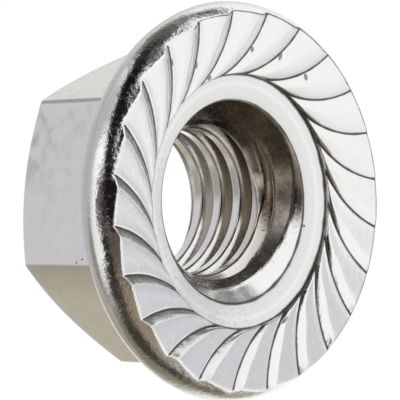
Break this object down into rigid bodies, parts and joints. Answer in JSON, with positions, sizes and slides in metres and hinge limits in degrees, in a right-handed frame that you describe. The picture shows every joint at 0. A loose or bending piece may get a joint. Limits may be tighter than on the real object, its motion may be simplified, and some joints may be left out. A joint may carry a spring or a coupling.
{
  "type": "serrated flange nut",
  "caption": "Hexagon nut with a round flange in one piece. Curved ratchet serrations on the bearing face surround a smooth, countersunk ring and a coarse-threaded bore.",
  "frame": {"origin": "on the thread axis, in the plane of the hexagon's free end, on which the nut stands", "axes": "+Z along the thread axis from the hexagon end to the serrated bearing face, +X square to one hexagon flat"},
  "size_m": [0.0178, 0.0178, 0.0082],
  "materials": {
    "nut_metal": "bright zinc plated, cold formed, lightly worn"
  },
  "bodies": {
    "root": {"flange_nut": "nut_metal"}
  },
  "joints": []
}
